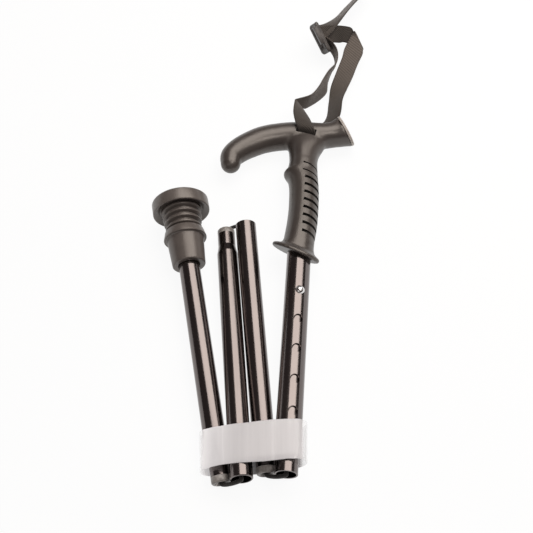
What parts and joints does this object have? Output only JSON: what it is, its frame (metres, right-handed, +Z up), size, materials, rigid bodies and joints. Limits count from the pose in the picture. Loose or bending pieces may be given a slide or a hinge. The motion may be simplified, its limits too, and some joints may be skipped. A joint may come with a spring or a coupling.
{
  "type": "folding cane",
  "caption": "Folding walking cane, folded flat: T-handle with wrist strap, tube sections on an elastic cord, push-button height setting, rubber foot and holding band.",
  "frame": {"origin": "middle of the folded bundle's box, without its strap, on the surface that it lies on", "axes": "+Y along the bundle towards the handle, +Z up from the surface, +X to the right seen from the folded ends"},
  "size_m": [0.1959, 0.5059, 0.0465],
  "materials": {
    "grip": "satin",
    "cap": "satin",
    "tube": "gloss black anodised",
    "inner_tube": "gloss black anodised",
    "strap": "woven webbing",
    "buckle": "satin",
    "chrome": "polished",
    "steel": "plain",
    "plug": "plain",
    "cord": "braided elastic",
    "bush": "plain",
    "rubber": "moulded, matt",
    "band": "translucent, glossy"
  },
  "bodies": {
    "handle": {"handle_grip": "grip", "nose_cap": "cap", "upper_tube": "tube", "wrist_strap": "strap", "strap_buckle": "buckle"},
    "extension": {"extension_tube": "inner_tube", "cord_top_plug": "plug", "cord_top_knot": "cord", "cord_upper": "cord", "button_spring": "steel"},
    "button": {"snap_button": "chrome"},
    "link_lower": {"cord_bend_lower": "cord"},
    "section_2": {"second_tube": "tube", "second_bush": "bush", "cord_second": "cord"},
    "link_upper": {"cord_bend_upper": "cord"},
    "section_3": {"third_tube": "tube", "third_bush": "bush", "cord_third": "cord"},
    "link_tip": {"cord_bend_tip": "cord"},
    "section_4": {"fourth_tube": "tube", "fourth_bush": "bush", "cord_fourth": "cord", "cord_tip_plug": "plug", "cord_tip_knot": "cord", "foot_socket": "rubber", "foot_washer": "steel", "foot_neck": "rubber"},
    "foot": {"foot_pad": "rubber"},
    "band": {"holder_band": "band"}
  },
  "joints": [
    {"name": "height_adjust", "type": "slide", "parent": "handle", "child": "extension", "axis": [-0.068, -0.9975, 0.0175], "range_m": [0, 0.1], "deforming": ["snap_button"]},
    {"name": "button_press", "type": "slide", "parent": "extension", "child": "button", "axis": [-0.2594, 0.0008, -0.9658], "range_m": [0, 0.004], "stiffness_N_per_m": 600, "deforming": ["button_spring"]},
    {"name": "fold_lower", "type": "hinge", "parent": "extension", "child": "link_lower", "pos_m": [0.01487, -0.1608, 0.01481], "axis": [-0.6478, -0.0125, 0.7617], "range_deg": [0, 175.52], "deforming": ["cord_bend_lower", "holder_band"]},
    {"name": "seat_second", "type": "slide", "parent": "link_lower", "child": "section_2", "axis": [0.0819, -0.9959, -0.0384], "range_m": [0, 0.026]},
    {"name": "fold_upper", "type": "hinge", "parent": "section_2", "child": "link_upper", "pos_m": [-0.01731, 0.05641, 0.01296], "axis": [0.4939, 0.0343, -0.8688], "range_deg": [0, 182.13], "deforming": ["cord_bend_upper"]},
    {"name": "seat_third", "type": "slide", "parent": "link_upper", "child": "section_3", "axis": [-0.0749, 0.996, -0.0488], "range_m": [0, 0.026]},
    {"name": "fold_tip", "type": "hinge", "parent": "section_3", "child": "link_tip", "pos_m": [-0.01566, -0.16583, 0.01431], "axis": [-0.5922, -0.0776, 0.8021], "range_deg": [0, 179.44], "deforming": ["cord_bend_tip"]},
    {"name": "seat_fourth", "type": "slide", "parent": "link_tip", "child": "section_4", "axis": [0.1682, -0.9839, -0.061], "range_m": [0, 0.026]},
    {"name": "foot_tilt", "type": "hinge", "parent": "section_4", "child": "foot", "pos_m": [-0.05901, 0.04891, 0.02232], "axis": [0.0103, -0.0602, 0.9981], "range_deg": [-8, 8], "stiffness_Nm_per_rad": 3, "deforming": ["foot_neck"]},
    {"name": "band_off", "type": "slide", "parent": "extension", "child": "band", "axis": [0, -1, 0], "range_m": [0, 0.065]}
  ],
  "couplings": [
    {"joint": "fold_upper", "follows": "fold_lower", "ratio": 1.0377},
    {"joint": "fold_tip", "follows": "fold_lower", "ratio": 1.0223}
  ]
}
